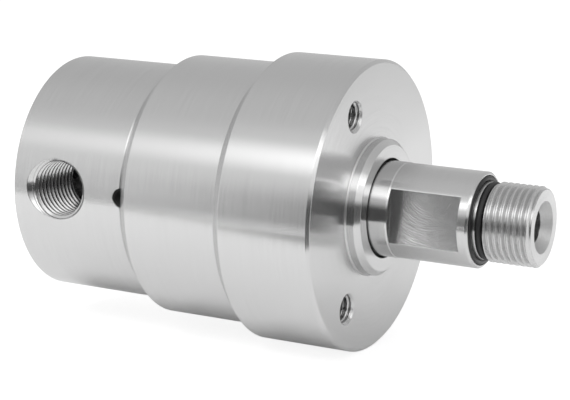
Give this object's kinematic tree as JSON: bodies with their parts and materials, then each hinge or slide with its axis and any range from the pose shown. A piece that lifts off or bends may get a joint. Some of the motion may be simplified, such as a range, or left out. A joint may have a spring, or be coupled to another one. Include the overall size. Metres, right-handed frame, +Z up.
{
  "type": "hydraulic rotary union",
  "caption": "Hydraulic rotary union: stepped round housing with a radial threaded port and bolting flange, and a hollow turning rotor with wrench flats and a threaded nose.",
  "frame": {"origin": "centre of the flange bolt circle, on the front face of the flange", "axes": "+X along the rotor towards its threaded nose; the supply port looks along -Y; +Z up"},
  "size_m": [0.1116, 0.062, 0.062],
  "materials": {
    "housing_steel": "fine turned stainless steel, satin bright",
    "rotor_steel": "turned and milled stainless steel, satin bright",
    "bearing_steel": "ground and polished bearing steel",
    "spring_steel": "drawn spring steel",
    "cage_polymer": "machined fabric-reinforced resin",
    "nitrile": "moulded black nitrile rubber",
    "seal_ceramic": "lapped silicon carbide",
    "seal_carbon": "machined carbon graphite",
    "backup_polymer": "white fluoropolymer"
  },
  "bodies": {
    "housing": {"front_housing": "housing_steel", "port_housing": "housing_steel", "front_outer_ring": "bearing_steel", "rear_outer_ring": "bearing_steel", "outer_spacer": "rotor_steel", "shaft_seal_case": "spring_steel", "shaft_seal_lip": "nitrile", "seal_garter_spring": "spring_steel", "housing_o_ring": "nitrile", "sleeve_o_ring": "nitrile", "sleeve_backup_ring": "backup_polymer", "seal_spring": "spring_steel", "anti_rotation_pins": "bearing_steel"},
    "rotor": {"rotor_shaft": "rotor_steel", "front_inner_ring": "bearing_steel", "rear_inner_ring": "bearing_steel", "inner_spacer": "rotor_steel", "shaft_retaining_ring": "spring_steel", "rotating_seal_ring": "seal_ceramic", "seat_o_ring": "nitrile", "nose_o_ring": "nitrile"},
    "front_ball_set": {"front_balls": "bearing_steel", "front_cage": "cage_polymer"},
    "rear_ball_set": {"rear_balls": "bearing_steel", "rear_cage": "cage_polymer"},
    "floating_seal": {"floating_seal_ring": "seal_carbon"}
  },
  "joints": [
    {"name": "rotor_spin", "type": "hinge", "parent": "housing", "child": "rotor", "pos_m": [0, 0, 0], "axis": [1, 0, 0], "continuous": true},
    {"name": "front_ball_orbit", "type": "hinge", "parent": "housing", "child": "front_ball_set", "pos_m": [-0.0135, 0, 0], "axis": [1, 0, 0], "continuous": true},
    {"name": "rear_ball_orbit", "type": "hinge", "parent": "housing", "child": "rear_ball_set", "pos_m": [-0.0325, 0, 0], "axis": [1, 0, 0], "continuous": true},
    {"name": "floating_seal_slide", "type": "slide", "parent": "housing", "child": "floating_seal", "axis": [1, 0, 0], "range_m": [-0.0007, 0], "stiffness_N_per_m": 2000, "springref_m": 0.001, "deforming": ["seal_spring"]}
  ],
  "couplings": [
    {"joint": "front_ball_orbit", "follows": "rotor_spin", "ratio": 0.4035},
    {"joint": "rear_ball_orbit", "follows": "rotor_spin", "ratio": 0.4035}
  ]
}
